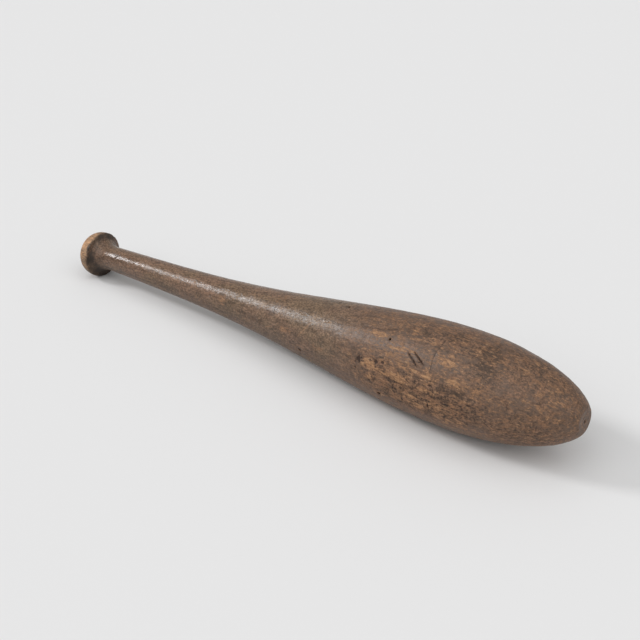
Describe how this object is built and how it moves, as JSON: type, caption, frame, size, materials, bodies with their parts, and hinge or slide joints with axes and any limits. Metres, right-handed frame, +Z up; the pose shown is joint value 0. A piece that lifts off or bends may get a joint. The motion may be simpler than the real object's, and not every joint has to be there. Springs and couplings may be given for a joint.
{
  "type": "small wooden bat",
  "caption": "Small one-piece turned wooden bat or exercise club, with a disc knob, a slim handle that swells into a long barrel and a rounded tip, lying on its side.",
  "frame": {"origin": "on the resting surface, under the middle of the bat's box", "axes": "+X along the bat from the knob towards the barrel, seen from above; +Z up from the resting surface. The bat lies on the edge of its knob and the belly of its barrel, so its turning axis rises by about 2.7 degrees towards the barrel"},
  "size_m": [0.3464, 0.0534, 0.054],
  "materials": {
    "stained_wood": "old dark brown stain and varnish, glossy on the handle, dull and scuffed on the barrel, worn to bare tan wood on the knob's edge and in patches on the barrel"
  },
  "bodies": {
    "root": {"bat": "stained_wood"}
  },
  "joints": []
}
